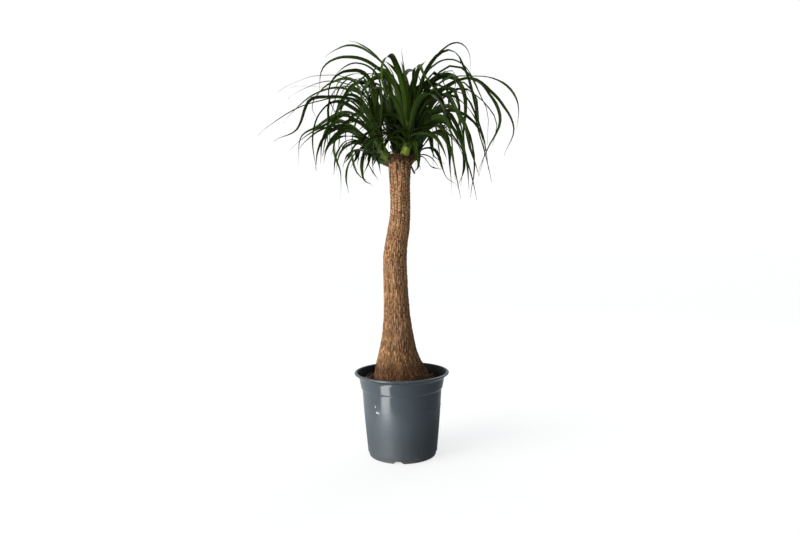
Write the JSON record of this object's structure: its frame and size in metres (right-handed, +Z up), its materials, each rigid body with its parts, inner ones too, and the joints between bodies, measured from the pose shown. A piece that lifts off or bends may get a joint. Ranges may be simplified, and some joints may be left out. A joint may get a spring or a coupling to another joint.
{
  "type": "potted ponytail palm",
  "caption": "Tall house plant with a bottle-footed woody trunk and a crown of long arching strap leaves, in a round tapered plastic nursery pot.",
  "frame": {"origin": "centre of the pot's foot, on the surface the plant stands on", "axes": "+Z up along the trunk, -Y towards the front, +X to the right seen from the front"},
  "size_m": [0.6118, 0.6313, 1.0361],
  "materials": {
    "pot_plastic": "satin",
    "soil": "matte",
    "bark": "matte",
    "shoot_skin": "satin",
    "leaf_blade": "satin"
  },
  "bodies": {
    "root": {"leaf_back_01": "leaf_blade", "leaf_back_02": "leaf_blade", "leaf_back_03": "leaf_blade", "leaf_back_04": "leaf_blade", "leaf_back_05": "leaf_blade", "leaf_back_06": "leaf_blade", "leaf_back_07": "leaf_blade", "leaf_left_01": "leaf_blade", "leaf_left_02": "leaf_blade", "leaf_left_03": "leaf_blade", "leaf_left_04": "leaf_blade", "leaf_left_05": "leaf_blade", "leaf_left_06": "leaf_blade", "leaf_left_07": "leaf_blade", "leaf_left_08": "leaf_blade", "leaf_left_09": "leaf_blade", "leaf_left_10": "leaf_blade", "leaf_left_11": "leaf_blade", "leaf_left_12": "leaf_blade", "leaf_left_13": "leaf_blade", "leaf_low_01": "leaf_blade", "leaf_low_02": "leaf_blade", "leaf_low_03": "leaf_blade", "leaf_low_04": "leaf_blade", "leaf_low_05": "leaf_blade", "leaf_low_06": "leaf_blade", "leaf_low_07": "leaf_blade", "leaf_low_08": "leaf_blade", "leaf_main_01": "leaf_blade", "leaf_main_02": "leaf_blade", "leaf_main_03": "leaf_blade", "leaf_main_04": "leaf_blade", "leaf_main_05": "leaf_blade", "leaf_main_06": "leaf_blade", "leaf_main_07": "leaf_blade", "leaf_main_08": "leaf_blade", "leaf_main_09": "leaf_blade", "leaf_main_10": "leaf_blade", "leaf_main_11": "leaf_blade", "leaf_main_12": "leaf_blade", "leaf_main_13": "leaf_blade", "leaf_right_01": "leaf_blade", "leaf_right_02": "leaf_blade", "leaf_right_03": "leaf_blade", "leaf_right_04": "leaf_blade", "leaf_right_05": "leaf_blade", "leaf_right_06": "leaf_blade", "leaf_right_07": "leaf_blade", "leaf_right_08": "leaf_blade", "leaf_right_09": "leaf_blade", "leaf_right_10": "leaf_blade", "leaf_right_11": "leaf_blade", "pot": "pot_plastic", "shoot_back": "shoot_skin", "shoot_left": "shoot_skin", "shoot_low": "shoot_skin", "shoot_main": "shoot_skin", "shoot_right": "shoot_skin", "soil": "soil", "trunk": "bark"}
  },
  "joints": []
}
